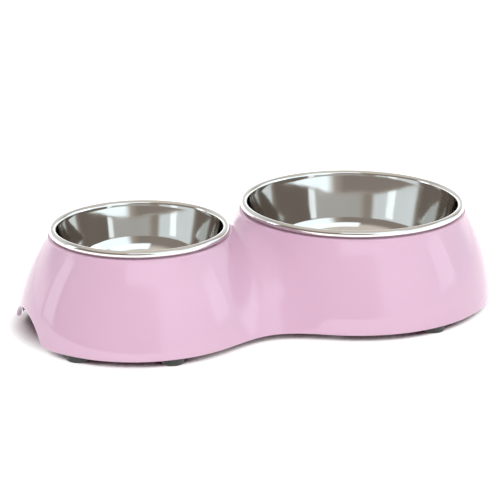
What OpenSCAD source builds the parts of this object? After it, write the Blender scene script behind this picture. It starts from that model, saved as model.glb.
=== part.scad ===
// Double pet bowl: two steel bowls hang by their rolled rims in one moulded holder on rubber feet.
// The origin is on the floor under the middle of the holder; the small bowl is towards -X.

/* [Holder] */
// Diameter of the holder's lower edge under the small bowl
small_base_d = 151; // [144:0.5:158]
// Diameter of the holder's lower edge under the large bowl
large_base_d = 177.4; // [170:0.2:184]
// Distance between the two bowls' centre lines
lobe_spacing = 140.4; // [137:0.2:148]
// Height of the seats above the floor
holder_h = 57.8; // [54:0.2:66]
// Radius of the side wall's outward curve, seen from the side
wall_arc_r = 122; // [100:1:260]
// Thickness of the moulded wall
wall_t = 3; // [2.2:0.1:3.6]
// How far a seat reaches out past the rim that lies on it
seat_margin = 0.9; // [0.4:0.1:1.6]
// Radius of a seat's rounded outer edge
seat_edge_r = 0.9; // [0.5:0.1:1.4]
// Radius of the rounded lower edge
edge_r = 1.2; // [0.6:0.1:1.5]
// Radius of the waist at the lower edge, seen from above
waist_r = 51.4; // [40:0.2:70]
// Depth of the saddle between the bowls below the seats
saddle_drop = 7.8; // [6.6:0.2:11]
// Thickness of a seat
seat_t = 3; // [2:0.1:4]

/* [Finger grips] */
// Width of a grip arch at the lower edge
grip_w = 54; // [46:1:62]
// Height of a grip arch above the lower edge
grip_h = 14.6; // [10:0.2:18]
// Radius of the corners where an arch meets the lower edge
grip_corner_r = 6; // [2:0.5:10]

/* [Bowls] */
// Outside diameter of the small bowl's rolled rim
small_rim_d = 107.5; // [100:0.5:112]
// Outside diameter of the large bowl's rolled rim
large_rim_d = 140; // [132:0.5:146]
// Thickness of the steel sheet
sheet_t = 0.8; // [0.5:0.1:1]
// Diameter of the rolled rim's section
bead_d = 4.4; // [3.8:0.1:5]
// Inside depth of the small bowl from the top of its rim
small_depth = 37; // [30:1:44]
// Inside depth of the large bowl from the top of its rim
large_depth = 42; // [34:1:48]
// Angle of a bowl's side from upright, in degrees
bowl_draft = 11; // [6:0.5:15]
// Inside radius between a bowl's side and its floor
corner_r = 16; // [8:1:22]

/* [Feet] */
// Diameter of a foot's pad
foot_d = 13; // [10:0.5:15]
// Height of a foot's pad, which is the gap under the holder
foot_h = 4.4; // [3.5:0.1:6]
// Radius of the pad's rounded lower edge
foot_edge_r = 1; // [0.4:0.1:1.5]
// Distance from the holder's lower edge in to a foot's centre
foot_inset = 8.4; // [7.8:0.1:10]
// Diameter of a foot's stem
stem_d = 5; // [4:0.1:5.5]
// Diameter of the barb that holds a foot in its boss
barb_d = 6.6; // [6:0.1:7]
// Length of the barb
barb_l = 2.8; // [2:0.1:4]
// Angle from the end of the small lobe to the feet beside its grip
small_end_angle = 38; // [34:1:48]
// Angle from the end of the small lobe to its side feet
small_side_angle = 86; // [76:1:100]
// Angle from the end of the large lobe to the feet beside its grip
large_end_angle = 31; // [28:1:42]
// Angle from the end of the large lobe to its side feet
large_side_angle = 78; // [68:1:110]

/* [Foot bosses] */
// Diameter of a boss
boss_d = 16; // [14.5:0.5:17]
// Height of a boss
boss_h = 8; // [7:0.5:10]
// Thickness of the web that a stem passes through
web_t = 3; // [2:0.1:3.5]
// Diameter of the pocket above the web
pocket_d = 8.4; // [7.8:0.1:9]

/* [Clearances] */
// Gap between a bowl and the holder
bowl_play = 0.3; // [0.2:0.05:0.6]
// Gap round a foot's stem
stem_play = 0.1; // [0.05:0.05:0.3]

/* [Hidden] */

$fn = 128;
// How far a cut runs past the face it opens
past = 1;
// How far a collar stands in from the wall below the saddle, and the same for its hollow
seam = 0.15;
hollow_seam = 0.5;
// How far a collar reaches down into the wall below the saddle
root_l = 2.3;
// Steps in the wall below the saddle, above the saddle, round the lower edge and round a seat's edge
wall_steps = 9;
neck_steps = 3;
edge_steps = 3;
seat_edge_steps = 5;
// Steps in the hollow's height
hollow_steps = 6;
// Even steps round the small lobe, round the large lobe and in each side of the waist, outside the wall
outer_steps = [52, 60, 12];
// The same on the wall's inside
inner_steps = [26, 28, 8];
// Steps in the rounded corner of a grip arch
grip_steps = 5;
// Steps in a bowl's corner and in its rolled rim
corner_steps = 10;
roll_steps = 18;
// Where the roll ends, turned from its outer side, just short of the bowl's wall
roll_end = -120;

skirt_z = foot_h;
side_z = skirt_z + edge_r;
wall_top_z = holder_h - seat_edge_r;
saddle_h = holder_h - saddle_drop;
total_l = small_base_d / 2 + lobe_spacing + large_base_d / 2;
small_x = (small_base_d - total_l) / 2;
large_x = small_x + lobe_spacing;

// A lobe is its centre line, the radius of its bowl's rim and the radius of its lower edge
small_lobe = [small_x, small_rim_d / 2, small_base_d / 2];
large_lobe = [large_x, large_rim_d / 2, large_base_d / 2];

// Points along an arc about c, from angle a0 to a1, and the same without the last point
function arc(c, r, a0, a1, steps) =
    [for (i = [0:steps]) let (a = a0 + (a1 - a0) * i / steps) c + r * [cos(a), sin(a)]];
function arc_open(c, r, a0, a1, steps) =
    [for (i = [0:steps - 1]) let (a = a0 + (a1 - a0) * i / steps) c + r * [cos(a), sin(a)]];

// Centre of the side wall's curve, which runs from the seat's edge to the lower edge
function wall_centre(lobe) =
    let (top = [lobe[1] + seat_margin, wall_top_z],
        foot = [lobe[2], skirt_z],
        chord = foot - top,
        half = norm(chord) / 2,
        out = [-chord[1], chord[0]] / norm(chord))
    (top + foot) / 2 - out * sqrt(wall_arc_r * wall_arc_r - half * half);

// Radius of the wall's face at height z, deep mm inside the outer face
function wall_r(lobe, z, deep = 0) =
    let (c = wall_centre(lobe), r = wall_arc_r - deep)
    c[0] + sqrt(r * r - (z - c[1]) * (z - c[1]));

// Heights of the wall's sections: closer together towards the saddle
wall_levels = concat(
    [for (i = [0:wall_steps]) let (u = 1 - i / wall_steps) side_z + (saddle_h - side_z) * (1 - u * u)],
    [for (i = [1:neck_steps]) saddle_h + (wall_top_z - saddle_h) * i / neck_steps]);

// Sections of the rounded lower edge as [height, how far it is drawn in]
edge_levels = [for (i = [0:edge_steps - 1]) let (a = 90 * i / edge_steps)
    [skirt_z + edge_r * (1 - cos(a)), edge_r * (1 - sin(a))]];

// Radius of the waist at height z: full at the lower edge, tight at the saddle
saddle_gap = lobe_spacing - wall_r(small_lobe, saddle_h) - wall_r(large_lobe, saddle_h);
saddle_r = max(1.5, saddle_gap / 2 + 0.25);
function waist_at(z) =
    saddle_r + (waist_r - saddle_r) * min(1, max(0, (saddle_h - z) / (saddle_h - skirt_z)));

// Outline at one height, seen from above: the two lobes' circles, joined by two curves of radius f
// that touch both. It starts behind the small lobe and goes round its end.
function outline(rs, rl, f, steps) =
    let (a = rs + f,
        b = rl + f,
        x = (lobe_spacing * lobe_spacing + a * a - b * b) / (2 * lobe_spacing),
        y = sqrt(a * a - x * x),
        at_small = atan2(y, x),
        at_large = atan2(y, lobe_spacing - x))
    concat(arc_open([small_x, 0], rs, at_small, 360 - at_small, steps[0]),
        arc_open([small_x + x, -y], f, 180 - at_small, at_large, steps[2]),
        arc_open([large_x, 0], rl, at_large - 180, 180 - at_large, steps[1]),
        arc_open([small_x + x, y], f, -at_large, at_small - 180, steps[2]));

// A solid through a stack of sections, listed upwards. A section is a list of 3D points in which
// point number tip is the -X end, and the same number of points leads round each side to the +X end.
module stacked(sections, tip) {
    n = len(sections[0]);
    last = (len(sections) - 1) * n;
    sides = [for (k = [0:len(sections) - 2], i = [0:n - 1])
        let (a = k * n + i, b = k * n + (i + 1) % n) each [[a, a + n, b + n], [a, b + n, b]]];
    // Each end is closed by strips from one side straight across to the other
    front = [for (k = [0:n / 2]) (tip + k) % n];
    back = [for (k = [0:n / 2]) (tip - k + n) % n];
    low = concat([[front[0], front[1], back[1]]],
        [for (k = [1:n / 2 - 2]) each [[front[k], front[k + 1], back[k]], [front[k + 1], back[k + 1], back[k]]]],
        [[front[n / 2 - 1], front[n / 2], back[n / 2 - 1]]]);
    high = [for (f = low) [last + f[2], last + f[1], last + f[0]]];
    polyhedron([for (s = sections) each s], concat(sides, low, high));
}

// The holder up to the saddle, as one solid without its hollow
module skirt() {
    sides = [for (z = wall_levels) if (z <= saddle_h) [z, 0]];
    stacked([for (s = concat(edge_levels, sides))
        let (small_r = wall_r(small_lobe, s[0]) - s[1], large_r = wall_r(large_lobe, s[0]) - s[1])
        [for (p = outline(small_r, large_r, waist_at(s[0]) + s[1], outer_steps)) [p[0], p[1], s[0]]]],
        outer_steps[0] / 2);
}

// The hollow under the skirt, up to a wall's thickness below the saddle
module skirt_hollow() {
    top = saddle_h - wall_t;
    heights = concat([skirt_z - past], [for (i = [1:hollow_steps]) let (u = 1 - i / hollow_steps)
        skirt_z + (top - skirt_z) * (1 - u * u)]);
    stacked([for (z = heights)
        let (small_r = wall_r(small_lobe, z, wall_t), large_r = wall_r(large_lobe, z, wall_t))
        [for (p = outline(small_r, large_r, waist_at(z + wall_t) + wall_t, inner_steps)) [p[0], p[1], z]]],
        inner_steps[0] / 2);
}

// Rim and hole sizes shared by a bowl and its lobe
function bead_r(lobe) = lobe[1] - bead_d / 2;
bead_z = holder_h + bowl_play + bead_d / 2;
rim_z = bead_z + bead_d / 2;
function hole_r(lobe) = bead_r(lobe) - bead_d / 2 + sheet_t + bowl_play;

// The top of one lobe above the saddle, filled up to its seat, with the seat's rounded outer edge
module collar(lobe) {
    root_r = wall_r(lobe, saddle_h) - seam;
    side = [for (z = wall_levels) if (z > saddle_h && z < wall_top_z) [wall_r(lobe, z), z]];
    edge = arc([lobe[1] + seat_margin - seat_edge_r, wall_top_z], seat_edge_r, 0, 90, seat_edge_steps);
    translate([lobe[0], 0, 0])
        rotate_extrude()
            polygon(concat([[0, saddle_h - root_l], [root_r, saddle_h - root_l], [root_r, saddle_h]],
                side, edge, [[0, holder_h]]));
}

// The hollow inside one collar, with the hole that a bowl hangs through
module collar_hollow(lobe) {
    under = holder_h - seat_t;
    low = saddle_h - wall_t;
    root_r = wall_r(lobe, low, wall_t) - hollow_seam;
    translate([lobe[0], 0, 0])
        rotate_extrude()
            polygon([[0, low - root_l], [root_r, low - root_l], [root_r, low],
                [wall_r(lobe, under, wall_t), under],
                [hole_r(lobe), under], [hole_r(lobe), holder_h + past], [0, holder_h + past]]);
}

// Feet as [lobe, angle from the lobe's end, side: 1 is the back and -1 the front]
small_end = -1;
large_end = 1;
function foot_place(lobe, end, angle, side) =
    [lobe[0] + end * (lobe[2] - foot_inset) * cos(angle), side * (lobe[2] - foot_inset) * sin(angle), 0];
foot_places = [for (side = [-1, 1]) each [
    foot_place(small_lobe, small_end, small_end_angle, side),
    foot_place(small_lobe, small_end, small_side_angle, side),
    foot_place(large_lobe, large_end, large_side_angle, side),
    foot_place(large_lobe, large_end, large_end_angle, side)]];

// A circular arch through an end wall, with a rounded corner on each side where it meets the lower edge
module grip(lobe, end) {
    r = (grip_w * grip_w / 4 + grip_h * grip_h) / (2 * grip_h);
    arch_z = grip_h - r;
    corner_y = sqrt(pow(r + grip_corner_r, 2) - pow(grip_corner_r - arch_z, 2));
    lean = atan2(grip_corner_r - arch_z, corner_y);
    reach = lobe[2] - corner_y;
    side = concat([[corner_y, -past]],
        arc([corner_y, grip_corner_r], grip_corner_r, -90, lean - 180, grip_steps));
    translate([lobe[0] + end * reach, 0, skirt_z])
        rotate([90, 0, 90 * end]) {
            translate([0, arch_z, 0])
                cylinder(h = corner_y + past, r = r);
            linear_extrude(height = corner_y + past)
                polygon(concat(side, [for (i = [len(side) - 1:-1:0]) [-side[i][0], side[i][1]]]));
        }
}

module holder() {
    color([0.89, 0.74, 0.83])
        difference() {
            union() {
                skirt();
                collar(small_lobe);
                collar(large_lobe);
            }
            difference() {
                union() {
                    skirt_hollow();
                    collar_hollow(small_lobe);
                    collar_hollow(large_lobe);
                }
                for (p = foot_places)
                    translate(p + [0, 0, skirt_z])
                        cylinder(h = boss_h, d = boss_d);
            }
            for (p = foot_places)
                translate(p + [0, 0, skirt_z]) {
                    translate([0, 0, -past])
                        cylinder(h = web_t + 2 * past, d = stem_d + 2 * stem_play);
                    translate([0, 0, web_t])
                        cylinder(h = boss_h - web_t, d = pocket_d);
                }
            grip(small_lobe, small_end);
            grip(large_lobe, large_end);
        }
}

// Pressed bowl: a tapered side, a round corner, a flat floor and a rim rolled outwards
module bowl(lobe, depth) {
    roll_c = [bead_r(lobe), bead_z];
    roll_r = bead_d / 2;
    top_r = bead_r(lobe) - roll_r;
    floor_z = rim_z - depth;
    meet_z = floor_z + corner_r * (1 - sin(bowl_draft));
    meet_r = top_r - (bead_z - meet_z) * tan(bowl_draft);
    corner_c = [meet_r - corner_r * cos(bowl_draft), floor_z + corner_r];
    inside = concat([[0, floor_z]],
        arc(corner_c, corner_r, -90, -bowl_draft, corner_steps),
        arc(roll_c, roll_r, 180, roll_end, roll_steps));
    outside = concat(arc(roll_c, roll_r - sheet_t, roll_end, 180, roll_steps),
        arc(corner_c, corner_r + sheet_t, -bowl_draft, -90, corner_steps),
        [[0, floor_z - sheet_t]]);
    color([0.80, 0.79, 0.76])
        translate([lobe[0], 0, 0])
            rotate_extrude()
                polygon(concat(inside, outside));
}

module small_bowl() {
    bowl(small_lobe, small_depth);
}

module large_bowl() {
    bowl(large_lobe, large_depth);
}

// Rubber foot: a round pad, and a stem whose barb snaps in above the boss's web
module foot(place) {
    stem_z = foot_h + web_t + stem_play;
    color([0.18, 0.20, 0.18])
        translate(place)
            rotate_extrude()
                polygon(concat([[0, 0]],
                    arc([foot_d / 2 - foot_edge_r, foot_edge_r], foot_edge_r, -90, 0, edge_steps),
                    [[foot_d / 2, foot_h], [stem_d / 2, foot_h], [stem_d / 2, stem_z], [barb_d / 2, stem_z],
                    [stem_d / 2, stem_z + barb_l], [0, stem_z + barb_l]]));
}

holder();
small_bowl();
large_bowl();
foot(foot_places[0]);  // foot_small_end_front
foot(foot_places[1]);  // foot_small_side_front
foot(foot_places[2]);  // foot_large_side_front
foot(foot_places[3]);  // foot_large_end_front
foot(foot_places[4]);  // foot_small_end_back
foot(foot_places[5]);  // foot_small_side_back
foot(foot_places[6]);  // foot_large_side_back
foot(foot_places[7]);  // foot_large_end_back
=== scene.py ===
import math
import bmesh
import bpy
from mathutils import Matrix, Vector


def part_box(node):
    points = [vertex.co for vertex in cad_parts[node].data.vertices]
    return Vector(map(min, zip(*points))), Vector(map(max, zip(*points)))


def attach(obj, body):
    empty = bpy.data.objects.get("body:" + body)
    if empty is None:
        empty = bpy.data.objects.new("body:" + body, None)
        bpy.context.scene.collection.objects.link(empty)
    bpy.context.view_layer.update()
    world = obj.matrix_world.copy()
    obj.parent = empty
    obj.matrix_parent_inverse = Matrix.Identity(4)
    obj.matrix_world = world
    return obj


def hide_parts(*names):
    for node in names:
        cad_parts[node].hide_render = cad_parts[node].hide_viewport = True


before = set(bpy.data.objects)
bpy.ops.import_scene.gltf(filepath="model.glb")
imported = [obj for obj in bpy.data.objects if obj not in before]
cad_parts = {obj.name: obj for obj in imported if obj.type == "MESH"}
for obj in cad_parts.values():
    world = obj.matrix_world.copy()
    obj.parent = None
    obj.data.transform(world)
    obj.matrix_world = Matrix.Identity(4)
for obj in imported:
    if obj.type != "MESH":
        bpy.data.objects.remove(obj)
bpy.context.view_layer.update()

# Camera
# A long lens looks down from the front left on both bowls, as the photograph does. The view is level, and
# the aim is a point on the floor behind the holder.
camera_place = Vector((-0.3721, -0.8668, 0.3425))
camera_aim = Vector((0.0394, 0.1066, 0.0))
bpy.ops.object.camera_add(location=camera_place)
camera = bpy.context.object
camera.rotation_euler = (camera_aim - camera_place).to_track_quat("-Z", "Y").to_euler()
camera.data.sensor_width = 36
camera.data.lens = 115.92
bpy.context.scene.camera = camera
bpy.context.scene.view_settings.view_transform = "Standard"

# Floor
# A plain white table top. It shows a little brighter than it is lit, so that it meets the white background,
# but not under the holder's edge and under the grip arch, where it keeps the dark, soft shadow that the
# lamps cast. There its colour is also painted darker, a painted shadow that turns dark magenta close under
# the edge and in a soft patch under the arch.
table_w = 8
table_white = (0.86, 0.86, 0.86, 1)
shadow_dark = (0.08, 0.0, 0.03, 1)
shadow_mid = (0.36, 0.24, 0.27, 1)
shadow_mid_at = 0.3
covered_reach = 0.08
covered_dark = 0.155
covered_light = 0.30
arch_shade_place = (-0.128, 0.012)
arch_shade_reach = (0.029, 0.050)
arch_shade_edge = 0.05
arch_shade_core = 0.6
arch_light_left = 0.12
lift_colour = (0.55, 0.55, 0.55, 1)
lift_in_mirrors = 2.2


def new_material(name):
    """An empty node material, with its node tree and its output node"""
    material = bpy.data.materials.new(name)
    material.use_nodes = True
    tree = material.node_tree
    tree.nodes.clear()
    return material, tree, tree.nodes.new("ShaderNodeOutputMaterial")


def stretched(tree, value, start, end, low, high):
    """Runs from low to high while the value goes from start to end"""
    stretch = tree.nodes.new("ShaderNodeMapRange")
    stretch.inputs["From Min"].default_value = start
    stretch.inputs["From Max"].default_value = end
    stretch.inputs["To Min"].default_value = low
    stretch.inputs["To Max"].default_value = high
    tree.links.new(value, stretch.inputs["Value"])
    return stretch.outputs["Result"]


def times(tree, a, b):
    """The product of two values"""
    product = tree.nodes.new("ShaderNodeMath")
    product.operation = "MULTIPLY"
    tree.links.new(a, product.inputs[0])
    tree.links.new(b, product.inputs[1])
    return product.outputs[0]


bpy.ops.mesh.primitive_plane_add(size=table_w, location=(0, 0, 0))
floor = bpy.context.object
floor.name = "table_top"
floor_material, tree, output = new_material("white_table")
# Painted shadow: the more closely the holder covers the floor, the darker the floor's colour is painted and
# the less it is lifted
covered = tree.nodes.new("ShaderNodeAmbientOcclusion")
covered.samples = 16
covered.inputs["Distance"].default_value = covered_reach
open_share = stretched(tree, covered.outputs["AO"], covered_dark, covered_light, 0, 1)
# Painted shadow: a soft dark ellipse painted on the floor under the small end's grip arch, fading outwards
from_arch = tree.nodes.new("ShaderNodeMapping")
from_arch.inputs["Location"].default_value = (-arch_shade_place[0] / arch_shade_reach[0],
                                              -arch_shade_place[1] / arch_shade_reach[1], 0)
from_arch.inputs["Scale"].default_value = (1 / arch_shade_reach[0], 1 / arch_shade_reach[1], 1)
tree.links.new(tree.nodes.new("ShaderNodeTexCoord").outputs["Object"], from_arch.inputs["Vector"])
arch_shade = tree.nodes.new("ShaderNodeTexGradient")
arch_shade.gradient_type = "SPHERICAL"
tree.links.new(from_arch.outputs[0], arch_shade.inputs["Vector"])
arch_share = stretched(tree, arch_shade.outputs["Fac"], arch_shade_edge, arch_shade_core, 1, arch_light_left)
light_share = times(tree, open_share, arch_share)
# The table's colour: white in the open, painted dark magenta where the painted shadow falls
table_white_to_painted_shadow = tree.nodes.new("ShaderNodeValToRGB")
table_white_to_painted_shadow.color_ramp.elements[0].color = shadow_dark
table_white_to_painted_shadow.color_ramp.elements[1].color = table_white
table_white_to_painted_shadow.color_ramp.elements.new(shadow_mid_at).color = shadow_mid
tree.links.new(light_share, table_white_to_painted_shadow.inputs["Fac"])
table_diffuse_with_painted_shadow = tree.nodes.new("ShaderNodeBsdfDiffuse")
tree.links.new(table_white_to_painted_shadow.outputs["Color"], table_diffuse_with_painted_shadow.inputs["Color"])
seen_by = tree.nodes.new("ShaderNodeLightPath")
lift_share = tree.nodes.new("ShaderNodeMath")
lift_share.operation = "MULTIPLY_ADD"
lift_share.inputs[1].default_value = lift_in_mirrors
tree.links.new(seen_by.outputs["Is Glossy Ray"], lift_share.inputs[0])
tree.links.new(times(tree, seen_by.outputs["Is Camera Ray"], light_share), lift_share.inputs[2])
table_lift = tree.nodes.new("ShaderNodeEmission")
table_lift.inputs["Color"].default_value = lift_colour
tree.links.new(lift_share.outputs[0], table_lift.inputs["Strength"])
table_surface = tree.nodes.new("ShaderNodeAddShader")
tree.links.new(table_diffuse_with_painted_shadow.outputs[0], table_surface.inputs[0])
tree.links.new(table_lift.outputs[0], table_surface.inputs[1])
tree.links.new(table_surface.outputs[0], output.inputs["Surface"])
floor.data.materials.append(floor_material)

# Studio light
# Four large soft lamps, on the left, in front, on the right and at the back, stand in a pale room. The lamps
# themselves don't show in the steel or in the gloss.
lamp_w = 1.2
room_light = 0.5


def soft_lamp(name, place, power):
    """A square lamp that faces the middle of the holder"""
    bpy.ops.object.light_add(type="AREA", location=place)
    lamp = bpy.context.object
    lamp.name = name
    lamp.rotation_euler = (-Vector(place)).to_track_quat("-Z", "Y").to_euler()
    lamp.data.size = lamp_w
    lamp.data.energy = power
    lamp.visible_glossy = False


soft_lamp("key_lamp", (-0.85, -1.15, 0.75), 9.0)
soft_lamp("front_lamp", (0.0, -1.45, 0.7), 3.5)
soft_lamp("fill_lamp", (1.1, -1.0, 0.8), 4.5)
soft_lamp("back_lamp", (0.4, 1.5, 0.9), 5.5)

world = bpy.data.worlds.new("white_studio")
bpy.context.scene.world = world
world.use_nodes = True
tree = world.node_tree
tree.nodes.clear()
world_output = tree.nodes.new("ShaderNodeOutputWorld")
seen_by = tree.nodes.new("ShaderNodeLightPath")

# Studio reflections
# What the polished steel and the gloss mirror: a warm grey room, cooler at the back, with a white sheet
# behind the object, a wide soft box in front of it and a narrow one on each side. Only reflections see
# these.
white = (1, 1, 1)
far_wall = (0.34, 0.30, 0.27)
near_wall = (0.62, 0.57, 0.51)
ceiling = (0.90, 0.84, 0.76)
back_wall = (0.92, 0.94, 0.95)
soft_box = (0.82, 0.93, 1.0)
direction = tree.nodes.new("ShaderNodeTexCoord")
axes = tree.nodes.new("ShaderNodeSeparateXYZ")
tree.links.new(direction.outputs["Generated"], axes.inputs[0])
way_round = tree.nodes.new("ShaderNodeMath")
way_round.operation = "ARCTAN2"
tree.links.new(axes.outputs["Y"], way_round.inputs[0])
tree.links.new(axes.outputs["X"], way_round.inputs[1])
way_up = tree.nodes.new("ShaderNodeMath")
way_up.operation = "ARCSINE"
tree.links.new(axes.outputs["Z"], way_up.inputs[0])


def even_light(colour, strength):
    """Light of one colour"""
    light = tree.nodes.new("ShaderNodeBackground")
    light.inputs["Color"].default_value = (*colour, 1)
    light.inputs["Strength"].default_value = strength
    return light.outputs[0]


def laid_over(behind, share, front):
    """The front light over the one behind it, by its share"""
    mix = tree.nodes.new("ShaderNodeMixShader")
    tree.links.new(share, mix.inputs["Fac"])
    tree.links.new(behind, mix.inputs[1])
    tree.links.new(front, mix.inputs[2])
    return mix.outputs[0]


def soft_edge(value, start, end):
    """Rises softly from 0 to 1 while the value goes from start to end, in degrees"""
    edge = stretched(tree, value, math.radians(start), math.radians(end), 0, 1)
    edge.node.interpolation_type = "SMOOTHSTEP"
    return edge


def panel(start, end, low, high, soft, soft_up):
    """Where a panel hangs: from start to end round the room, counterclockwise, and from low to high"""
    across = times(tree, soft_edge(way_round.outputs[0], start - soft, start + soft),
                   soft_edge(way_round.outputs[0], end + soft, end - soft))
    upright = times(tree, soft_edge(way_up.outputs[0], low - soft_up, low + soft_up),
                    soft_edge(way_up.outputs[0], high + soft_up, high - soft_up))
    return times(tree, across, upright)


front_side = panel(-100, 60, -90, 45, 10, 15)
overhead = panel(-179, 179, 46, 100, 1, 10)
back_side = panel(40, 155, -90, 40, 10, 10)
white_sheet = panel(0, 144, -90, 11, 4, 5)
wide_box = panel(-92, 14, -90, 40, 6, 1)
high_box = panel(-128, -50, 38, 58, 3, 3)
right_box = panel(-37, -18, 4, 27, 1, 2)
left_box = panel(148, 162, 1, 30, 1, 2)
room = even_light(far_wall, 1)
room = laid_over(room, front_side, even_light(near_wall, 1))
room = laid_over(room, overhead, even_light(ceiling, 1))
room = laid_over(room, back_side, even_light(back_wall, 1))
room = laid_over(room, white_sheet, even_light(white, 2.2))
room = laid_over(room, wide_box, even_light(soft_box, 1.8))
room = laid_over(room, high_box, even_light(soft_box, 2.0))
room = laid_over(room, right_box, even_light(soft_box, 3.0))
room = laid_over(room, left_box, even_light(soft_box, 2.6))
shown = laid_over(even_light(white, room_light), seen_by.outputs["Is Glossy Ray"], room)
shown = laid_over(shown, seen_by.outputs["Is Camera Ray"], even_light(white, 1))
tree.links.new(shown, world_output.inputs["Surface"])

# Holder
# The moulded shell of glossy pink plastic that carries both bowls: a wall in the shape of an eight that
# flares to its lower edge, with a flat seat round each opening, rounded outside, a grip arch at each end,
# and bosses inside that take the feet.
small_low, small_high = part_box("small_bowl")
large_low, large_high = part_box("large_bowl")
holder_low, holder_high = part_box("holder")
small_x = (small_low.x + small_high.x) / 2
large_x = (large_low.x + large_high.x) / 2
spacing = large_x - small_x
small_base_r = 0.0755
large_base_r = 0.0887
skirt_z = holder_low.z
edge_r = 0.0012
wall_t = 0.003
wall_arc_r = 0.122
seat_t = 0.003
seat_z = holder_high.z
seat_under = seat_z - seat_t
seat_margin = 0.0009
seat_edge_r = 0.0009
wall_top_z = seat_z - seat_edge_r
sheet_t = 0.0008
bead_r = 0.0022
play = 0.0003
hole_edge_r = 0.0004
seat_edge_steps = 8
hole_edge_steps = 3
grip_w = 0.054
grip_h = 0.0146
grip_corner_r = 0.006
low_blend = 0.0445
top_blend = 0.025
small_half_steps = 110
large_half_steps = 130
ring_steps = 2 * (small_half_steps + large_half_steps)
end_crowding = 0.45
ring_crowding = 1.5
outer_rings_below = 26
inner_rings_below = 12
rings_above = 8
merge_gap = 2e-5
sharp_angle = math.radians(50)


class Lobe:
    """One round half of the holder: its centre, the way its end points, its rim and its wall's curve"""

    def __init__(self, x, end, rim_r, base_r, first, half_steps):
        self.x = x
        self.end = end
        self.rim_r = rim_r
        self.hole_r = rim_r - 2 * bead_r + sheet_t + play
        self.first = first
        self.half_steps = half_steps
        top = Vector((rim_r + seat_margin, wall_top_z))
        foot = Vector((base_r, skirt_z))
        chord = foot - top
        out = Vector((-chord.y, chord.x)).normalized()
        self.arc = (top + foot) / 2 - out * math.sqrt(wall_arc_r ** 2 - (chord.length / 2) ** 2)

    def wall_r(self, z, deep):
        """Radius of the wall's face at height z, deep inside the outer face"""
        return self.arc.x + math.sqrt((wall_arc_r - deep) ** 2 - (z - self.arc.y) ** 2)

    def turn(self, column):
        """How far a column is round from the end, 0, to the neck, 1, and its side: -1 front, 1 back"""
        step = (column - self.first) % ring_steps - self.half_steps
        even = abs(step) / self.half_steps
        side = self.end if step < 0 else -self.end
        return even * (1 - end_crowding + end_crowding * even), side

    def place(self, column, angle, r, z):
        """Place of a column's vertex at an angle from the lobe's end"""
        side = self.turn(column)[1]
        return Vector((self.x + self.end * r * math.cos(angle), side * r * math.sin(angle), z))


small_lobe = Lobe(small_x, -1, small_high.x - small_x, small_base_r, 0, small_half_steps)
large_lobe = Lobe(large_x, 1, large_high.x - large_x, large_base_r, 2 * small_half_steps, large_half_steps)


def lobe_of(column):
    """The lobe that a column belongs to"""
    return small_lobe if column <= 2 * small_half_steps else large_lobe


def other_lobe(lobe):
    """The lobe across the neck"""
    return large_lobe if lobe is small_lobe else small_lobe


def blend_at(z):
    """Width of the blend between the lobes at height z"""
    return low_blend + (top_blend - low_blend) * (z - skirt_z) / (wall_top_z - skirt_z)


def neck_angle(lobe, z, deep):
    """Angle at a lobe's centre between the other centre and the valley where the lobes meet"""
    a = lobe.wall_r(z, deep) + blend_at(z) / 4
    b = other_lobe(lobe).wall_r(z, deep) + blend_at(z) / 4
    x = (spacing ** 2 + a ** 2 - b ** 2) / (2 * spacing)
    return math.atan2(math.sqrt(a * a - x * x), x) if a > x else 0.0


def blended_r(lobe, angle, z, deep):
    """Radius of the blended wall, at an angle from the lobe's end"""
    own_r = lobe.wall_r(z, deep)
    other_r = other_lobe(lobe).wall_r(z, deep)
    width = blend_at(z)
    low, high = own_r, own_r + width / 4
    for _ in range(30):
        r = (low + high) / 2
        own = r - own_r
        far = math.hypot(spacing + r * math.cos(angle), r * math.sin(angle)) - other_r
        overlap = max(width - abs(own - far), 0) / width
        if min(own, far) < overlap ** 2 * width / 4:
            low = r
        else:
            high = r
    return (low + high) / 2


def arch_z(y):
    """Height of the lower edge at an end: level, then a rounded corner, then the grip's round arch"""
    r = (grip_w ** 2 / 4 + grip_h ** 2) / (2 * grip_h)
    drop = r - grip_h
    corner_y = math.sqrt((r + grip_corner_r) ** 2 - (grip_corner_r + drop) ** 2)
    meet_y = corner_y * r / (r + grip_corner_r)
    if y >= corner_y:
        return skirt_z
    if y > meet_y:
        return skirt_z + grip_corner_r - math.sqrt(grip_corner_r ** 2 - (corner_y - y) ** 2)
    return skirt_z - drop + math.sqrt(r * r - y * y)


def wall_place(lobe, column, level, deep, top):
    """Place of a vertex in the wall. level runs from the lower edge, 0, to the top, 1"""
    share = lobe.turn(column)[0]
    foot_angle = share * (math.pi - neck_angle(lobe, skirt_z, deep))
    low = skirt_z
    if foot_angle < math.pi / 4:
        for _ in range(8):
            low = arch_z(lobe.wall_r(low, deep) * math.sin(foot_angle))
    level_z = skirt_z + (top - skirt_z) * level
    angle = share * (math.pi - neck_angle(lobe, level_z, deep))
    z = low + (top - low) * level
    return lobe.place(column, angle, blended_r(lobe, angle, z, deep), z)


def seat_place(lobe, column, r, z):
    """Place of a vertex in the seat: round at the hole, and outside as wide as the wall's top"""
    angle = lobe.turn(column)[0] * math.pi
    if r > lobe.rim_r - bead_r:
        r += blended_r(lobe, angle, wall_top_z, 0) - lobe.wall_r(wall_top_z, 0)
    return lobe.place(column, angle, r, z)


def arc_points(centre, r, start, end, steps):
    """Points on an arc, both ends among them"""
    angles = [start + (end - start) * i / steps for i in range(steps + 1)]
    return [(centre[0] + r * math.cos(a), centre[1] + r * math.sin(a)) for a in angles]


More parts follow.
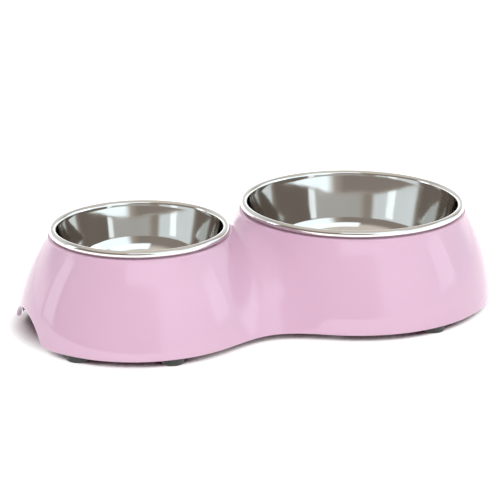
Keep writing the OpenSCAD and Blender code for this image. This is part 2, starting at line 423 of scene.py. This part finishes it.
def seat_outline(lobe):
    """Outline of the seat's rounded edge, its flat top and the hole's small roundings"""
    edge_centre = (lobe.rim_r + seat_margin - seat_edge_r, wall_top_z)
    top_round = (lobe.hole_r + hole_edge_r, seat_z - hole_edge_r)
    low_round = (lobe.hole_r + hole_edge_r, seat_under + hole_edge_r)
    up = math.pi / 2
    return (arc_points(edge_centre, seat_edge_r, 0, up, seat_edge_steps)[1:]
            + arc_points(top_round, hole_edge_r, up, 2 * up, hole_edge_steps)
            + arc_points(low_round, hole_edge_r, 2 * up, 3 * up, hole_edge_steps))


def saddle_level(deep, top):
    """Level at which the two lobes part"""
    low, high = skirt_z, top
    for _ in range(60):
        z = (low + high) / 2
        if neck_angle(small_lobe, z, deep) > 0:
            low = z
        else:
            high = z
    return (high - skirt_z) / (top - skirt_z)


def new_ring(name, steps):
    """A ring of numbered vertices, selected in edit mode"""
    bpy.ops.object.select_all(action="DESELECT")
    bpy.ops.mesh.primitive_circle_add(vertices=steps, radius=1, location=(0, 0, 0))
    piece = bpy.context.object
    piece.name = name
    bpy.ops.object.mode_set(mode="EDIT")
    shape = bmesh.from_edit_mesh(piece.data)
    column = shape.verts.layers.int.new("column")
    for i, v in enumerate(shape.verts):
        v[column] = i
    shape.verts.layers.int.new("parting")
    bmesh.update_edit_mesh(piece.data)
    bpy.ops.mesh.select_mode(type="EDGE")
    bpy.ops.mesh.select_all(action="SELECT")
    return piece


def set_ring(mesh, place):
    """Puts each selected vertex where place says, by its column"""
    shape = bmesh.from_edit_mesh(mesh)
    column = shape.verts.layers.int["column"]
    for v in shape.verts:
        if v.select:
            v.co = place(v[column])
    bmesh.update_edit_mesh(mesh)


def raise_ring(mesh, place):
    """Extrudes the selected ring once and sets the new one"""
    bpy.ops.mesh.extrude_edges_indiv()
    set_ring(mesh, place)


def mark_parting(mesh):
    """Marks the selected ring, at which the two lobes part"""
    shape = bmesh.from_edit_mesh(mesh)
    parting = shape.verts.layers.int["parting"]
    for v in shape.verts:
        v[parting] = v.select
    bmesh.update_edit_mesh(mesh)


def select_parting(mesh, lobe):
    """Selects a lobe's own part of the ring at which the lobes part"""
    bpy.ops.mesh.select_all(action="DESELECT")
    shape = bmesh.from_edit_mesh(mesh)
    column = shape.verts.layers.int["column"]
    parting = shape.verts.layers.int["parting"]
    for e in shape.edges:
        own_side = lobe_of(max(v[column] for v in e.verts)) is lobe
        if own_side and all(v[parting] for v in e.verts):
            e.select_set(True)
    bmesh.update_edit_mesh(mesh)


def raise_wall(piece, deep, top, rings_below, seated):
    """Raises the wall from the selected ring to the saddle, and then each lobe's own top and seat"""
    mesh = piece.data
    saddle = saddle_level(deep, top)
    for i in range(1, rings_below + 1):
        level = saddle * (1 - (1 - i / rings_below) ** ring_crowding)
        raise_ring(mesh, lambda c: wall_place(lobe_of(c), c, level, deep, top))
    bpy.ops.mesh.remove_doubles(threshold=merge_gap)
    mark_parting(mesh)
    for lobe in (small_lobe, large_lobe):
        select_parting(mesh, lobe)
        for i in range(1, rings_above + 1):
            level = saddle + (1 - saddle) * (i / rings_above) ** ring_crowding
            raise_ring(mesh, lambda c: wall_place(lobe, c, level, deep, top))
        if seated:
            for r, z in seat_outline(lobe):
                raise_ring(mesh, lambda c: seat_place(lobe, c, r, z))
            raise_ring(mesh, lambda c: wall_place(lobe, c, 1, wall_t, seat_under))
    bpy.ops.object.mode_set(mode="OBJECT")


holder = new_ring("holder_shell", ring_steps)
set_ring(holder.data, lambda c: wall_place(lobe_of(c), c, 0, 0, wall_top_z))
raise_wall(holder, 0, wall_top_z, outer_rings_below, True)
inside = new_ring("holder_inside", ring_steps)
set_ring(inside.data, lambda c: wall_place(lobe_of(c), c, 0, 0, wall_top_z))
raise_ring(inside.data, lambda c: wall_place(lobe_of(c), c, 0, wall_t, seat_under))
raise_wall(inside, wall_t, seat_under, inner_rings_below, False)
bpy.ops.object.select_all(action="DESELECT")
inside.select_set(True)
holder.select_set(True)
bpy.context.view_layer.objects.active = holder
bpy.ops.object.join()
bpy.ops.object.mode_set(mode="EDIT")
bpy.ops.mesh.select_all(action="SELECT")
bpy.ops.mesh.remove_doubles(threshold=merge_gap)
bpy.ops.mesh.normals_make_consistent(inside=False)

# The lower edge and the arches are rounded on both sides
bpy.ops.mesh.select_all(action="DESELECT")
shape = bmesh.from_edit_mesh(holder.data)
edge_top = skirt_z + grip_h + wall_t
for e in shape.edges:
    low_enough = max(v.co.z for v in e.verts) < edge_top
    if low_enough and e.is_manifold and e.calc_face_angle() > sharp_angle:
        e.select_set(True)
bmesh.update_edit_mesh(holder.data)
bpy.ops.mesh.bevel(offset=edge_r, segments=4, affect="EDGES", clamp_overlap=False)
bpy.ops.object.mode_set(mode="OBJECT")

# Each boss is a short hollow post that stands in the shell over a foot, and grows into the wall beside it
boss_r = 0.008
boss_h = 0.008
boss_lift = 0.00003
boss_steps = 48
web_t = 0.003
pocket_r = 0.0042
stem_hole_r = 0.0026
turned_merge_gap = 1e-5
boss_outline = [(boss_r - edge_r, 0), (boss_r, edge_r), (boss_r, boss_h), (pocket_r, boss_h),
                (pocket_r, web_t), (stem_hole_r, web_t), (stem_hole_r, 0), (boss_r - edge_r, 0)]


def turned(name, centre, outline, steps):
    """A round piece: its outline, as (radius, height) from its middle or back to its start, is turned"""
    def round_place(column, r, z):
        angle = 2 * math.pi * column / steps
        return Vector((centre.x + r * math.cos(angle), centre.y + r * math.sin(angle), centre.z + z))

    piece = new_ring(name, steps)
    set_ring(piece.data, lambda c: round_place(c, *outline[0]))
    for r, z in outline[1:]:
        raise_ring(piece.data, lambda c: round_place(c, r, z))
    bpy.ops.mesh.select_all(action="SELECT")
    bpy.ops.mesh.remove_doubles(threshold=turned_merge_gap)
    bpy.ops.mesh.normals_make_consistent(inside=False)
    bpy.ops.object.mode_set(mode="OBJECT")
    return piece


def spot_under(n):
    """The point on the floor under the middle of node n"""
    low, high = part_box(n)
    return Vector(((low.x + high.x) / 2, (low.y + high.y) / 2, 0))


foot_spots = {n: spot_under(n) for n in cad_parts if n.startswith("foot_")}
bosses = []
for spot in foot_spots.values():
    boss_place = Vector((spot.x, spot.y, skirt_z + boss_lift))
    bosses.append(turned("boss", boss_place, boss_outline, boss_steps))
bpy.ops.object.select_all(action="DESELECT")
for boss in bosses:
    boss.select_set(True)
bpy.context.view_layer.objects.active = bosses[0]
bpy.ops.object.join()
bosses = bpy.context.object
bpy.ops.object.transform_apply(location=True, rotation=True, scale=True)
for v in bosses.data.vertices:
    lobe = small_lobe if v.co.x < small_x / 2 + large_x / 2 else large_lobe
    out_x = (v.co.x - lobe.x) * lobe.end
    own_r = math.hypot(out_x, v.co.y)
    limit = blended_r(lobe, math.atan2(abs(v.co.y), out_x), v.co.z, wall_t / 2)
    if own_r > limit:
        v.co.x = lobe.x + (v.co.x - lobe.x) * limit / own_r
        v.co.y *= limit / own_r
bpy.ops.object.select_all(action="DESELECT")
bpy.context.view_layer.objects.active = holder
weld = holder.modifiers.new("bosses", "BOOLEAN")
weld.operation = "UNION"
weld.solver = "EXACT"
weld.object = bosses
bpy.ops.object.modifier_apply(modifier=weld.name)
bpy.data.objects.remove(bosses)
holder.select_set(True)
bpy.ops.object.shade_smooth_by_angle(angle=math.radians(35))

# The gloss swims a little, as it does on plastic that has cooled in a mould, and is finely grained
pink_shades = ((0.74, 0.475, 0.63), (0.76, 0.495, 0.65))
pink_gloss = (0.01, 0.03)
mould_flow_depth = 0.00025
fine_grain_depth = 0.0000012
pattern_low = 0.3
pattern_high = 0.7


def cloudy(tree, place, scale, detail):
    """A soft random pattern on the piece, of so many waves to the metre"""
    pattern = tree.nodes.new("ShaderNodeTexNoise")
    pattern.inputs["Scale"].default_value = scale
    pattern.inputs["Detail"].default_value = detail
    tree.links.new(place, pattern.inputs["Vector"])
    return pattern.outputs[0]


def spread(tree, pattern, low, high):
    """Stretches a pattern so that it runs from low to high"""
    return stretched(tree, pattern, pattern_low, pattern_high, low, high)


def relief(tree, pattern, depth, under=None):
    """Raises the surface by a pattern, over another relief if there is one"""
    bump = tree.nodes.new("ShaderNodeBump")
    bump.inputs["Strength"].default_value = 1
    bump.inputs["Distance"].default_value = depth
    tree.links.new(pattern, bump.inputs["Height"])
    if under:
        tree.links.new(under, bump.inputs["Normal"])
    return bump.outputs["Normal"]


def two_shades(tree, pattern, shades):
    """A colour that runs between two shades by a pattern"""
    ramp = tree.nodes.new("ShaderNodeValToRGB")
    ramp.color_ramp.elements[0].position = pattern_low
    ramp.color_ramp.elements[0].color = (*shades[0], 1)
    ramp.color_ramp.elements[1].position = pattern_high
    ramp.color_ramp.elements[1].color = (*shades[1], 1)
    tree.links.new(pattern, ramp.inputs["Fac"])
    return ramp.outputs["Color"]


pink, tree, output = new_material("gloss_pink_plastic")
on_holder = tree.nodes.new("ShaderNodeTexCoord").outputs["Object"]
pink_surface = tree.nodes.new("ShaderNodeBsdfPrincipled")
pink_shade = two_shades(tree, cloudy(tree, on_holder, 18, 2), pink_shades)
tree.links.new(pink_shade, pink_surface.inputs["Base Color"])
pink_roughness = spread(tree, cloudy(tree, on_holder, 60, 3), *pink_gloss)
tree.links.new(pink_roughness, pink_surface.inputs["Roughness"])
mould_flow = relief(tree, cloudy(tree, on_holder, 22, 1), mould_flow_depth)
fine_grain = relief(tree, cloudy(tree, on_holder, 700, 2), fine_grain_depth, mould_flow)
tree.links.new(fine_grain, pink_surface.inputs["Normal"])
tree.links.new(pink_surface.outputs[0], output.inputs["Surface"])
holder.data.materials.clear()
holder.data.materials.append(pink)
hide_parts("holder")
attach(holder, "holder")

# Steel bowls
# Two bowls pressed from thin stainless sheet and polished: a flat floor, a round corner, a tapered side and
# a rim rolled outwards, which lies on the holder's seat.
bowl_draft = math.radians(11)
roll_end = math.radians(-120)
small_corner_r = 0.021
large_corner_r = 0.016
side_steps = 12
corner_steps = 24
rim_steps = 40
curl_steps = 30
bowl_steps = 192
steel_shades = ((0.61, 0.595, 0.57), (0.64, 0.625, 0.60))
steel_gloss = (0.05, 0.09)
press_wave_depth = 0.0002
wheel_mark_scale = 420
wheel_mark_depth = 0.0000008


def steel_bowl(name, node, corner_r):
    """A bowl turned from its inside, its rolled rim and its outside"""
    low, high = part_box(node)
    centre = Vector(((low.x + high.x) / 2, 0, 0))
    roll = (high.x - centre.x - bead_r, high.z - bead_r)
    floor_z = low.z + sheet_t
    meet_z = floor_z + corner_r * (1 - math.sin(bowl_draft))
    meet_r = roll[0] - bead_r - (roll[1] - meet_z) * math.tan(bowl_draft)
    corner = (meet_r - corner_r * math.cos(bowl_draft), floor_z + corner_r)
    down = -math.pi / 2
    flat = [(0, floor_z), (corner[0] / 2, floor_z)]
    inner_corner = arc_points(corner, corner_r, down, -bowl_draft, corner_steps)
    side = [(meet_r + (roll[0] - bead_r - meet_r) * i / side_steps,
             meet_z + (roll[1] - meet_z) * i / side_steps) for i in range(1, side_steps)]
    rim = arc_points(roll, bead_r, math.pi, roll_end, rim_steps)
    curl = arc_points(roll, bead_r - sheet_t, roll_end, math.pi, curl_steps)
    outer_corner = arc_points(corner, corner_r + sheet_t, -bowl_draft, down, corner_steps)
    underside = [(0, floor_z - sheet_t)]
    outline = flat + inner_corner + side + rim + curl + outer_corner + underside
    bowl = turned(name, centre, outline, bowl_steps)
    bowl.select_set(True)
    bpy.ops.object.shade_smooth_by_angle(angle=math.radians(40))
    return bowl


def polished_steel(name, centre_x):
    """Mirror-polished steel, a little wavy from the press, with fine rings from the polishing wheel"""
    steel, tree, output = new_material(name)
    on_bowl = tree.nodes.new("ShaderNodeTexCoord").outputs["Object"]
    centred = tree.nodes.new("ShaderNodeMapping")
    centred.inputs["Location"].default_value = (-centre_x, 0, 0)
    tree.links.new(on_bowl, centred.inputs["Vector"])
    rings = tree.nodes.new("ShaderNodeTexWave")
    rings.wave_type = "RINGS"
    rings.rings_direction = "Z"
    rings.inputs["Scale"].default_value = wheel_mark_scale
    rings.inputs["Distortion"].default_value = 3
    rings.inputs["Detail"].default_value = 2
    tree.links.new(centred.outputs[0], rings.inputs["Vector"])
    surface = tree.nodes.new("ShaderNodeBsdfPrincipled")
    surface.inputs["Metallic"].default_value = 1
    steel_shade = two_shades(tree, cloudy(tree, on_bowl, 30, 3), steel_shades)
    tree.links.new(steel_shade, surface.inputs["Base Color"])
    steel_roughness = spread(tree, cloudy(tree, on_bowl, 90, 3), *steel_gloss)
    tree.links.new(steel_roughness, surface.inputs["Roughness"])
    press_waves = relief(tree, cloudy(tree, on_bowl, 45, 1), press_wave_depth)
    wheel_marks = relief(tree, rings.outputs[1], wheel_mark_depth, press_waves)
    tree.links.new(wheel_marks, surface.inputs["Normal"])
    tree.links.new(surface.outputs[0], output.inputs["Surface"])
    return steel


for body, centre_x, corner_r in (("small_bowl", small_x, small_corner_r),
                                 ("large_bowl", large_x, large_corner_r)):
    bowl = steel_bowl(body + "_steel", body, corner_r)
    bowl.data.materials.clear()
    bowl.data.materials.append(polished_steel(body + "_polished_steel", centre_x))
    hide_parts(body)
    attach(bowl, body)

# Rubber feet
# Eight black rubber pads. Each is pressed into a boss of the holder by a stem with a barb, and has a shallow
# dished underside.
foot_r = 0.0065
foot_edge_r = 0.001
dish_r = 0.004
dish_h = 0.0004
stem_r = 0.0025
stem_h = 0.0031
barb_r = 0.0033
barb_h = 0.0028
barb_z = skirt_z + stem_h
foot_edge_steps = 6
foot_steps = 64
rubber_shades = ((0.024, 0.028, 0.025), (0.040, 0.045, 0.040))
rubber_matt = (0.55, 0.7)
rubber_grain_depth = 0.00004
foot_dish = [(0, dish_h), (dish_r, dish_h), (dish_r + dish_h, 0)]
edge_centre = (foot_r - foot_edge_r, foot_edge_r)
foot_edge = arc_points(edge_centre, foot_edge_r, -math.pi / 2, 0, foot_edge_steps)
foot_top = [(foot_r, skirt_z - dish_h), (foot_r - dish_h, skirt_z), (stem_r, skirt_z)]
foot_barb = [(stem_r, barb_z), (barb_r, barb_z), (stem_r, barb_z + barb_h), (0, barb_z + barb_h)]
foot_outline = foot_dish + foot_edge + foot_top + foot_barb
rubber, tree, output = new_material("black_rubber")
on_foot = tree.nodes.new("ShaderNodeTexCoord").outputs["Object"]
rubber_surface = tree.nodes.new("ShaderNodeBsdfPrincipled")
rubber_shade = two_shades(tree, cloudy(tree, on_foot, 400, 3), rubber_shades)
tree.links.new(rubber_shade, rubber_surface.inputs["Base Color"])
rubber_roughness = spread(tree, cloudy(tree, on_foot, 250, 3), *rubber_matt)
tree.links.new(rubber_roughness, rubber_surface.inputs["Roughness"])
rubber_grain = relief(tree, cloudy(tree, on_foot, 1500, 2), rubber_grain_depth)
tree.links.new(rubber_grain, rubber_surface.inputs["Normal"])
tree.links.new(rubber_surface.outputs[0], output.inputs["Surface"])
for n, spot in foot_spots.items():
    foot = turned(n + "_pad", spot, foot_outline, foot_steps)
    foot.select_set(True)
    bpy.ops.object.shade_smooth_by_angle(angle=math.radians(30))
    foot.data.materials.clear()
    foot.data.materials.append(rubber)
    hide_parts(n)
    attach(foot, "holder")
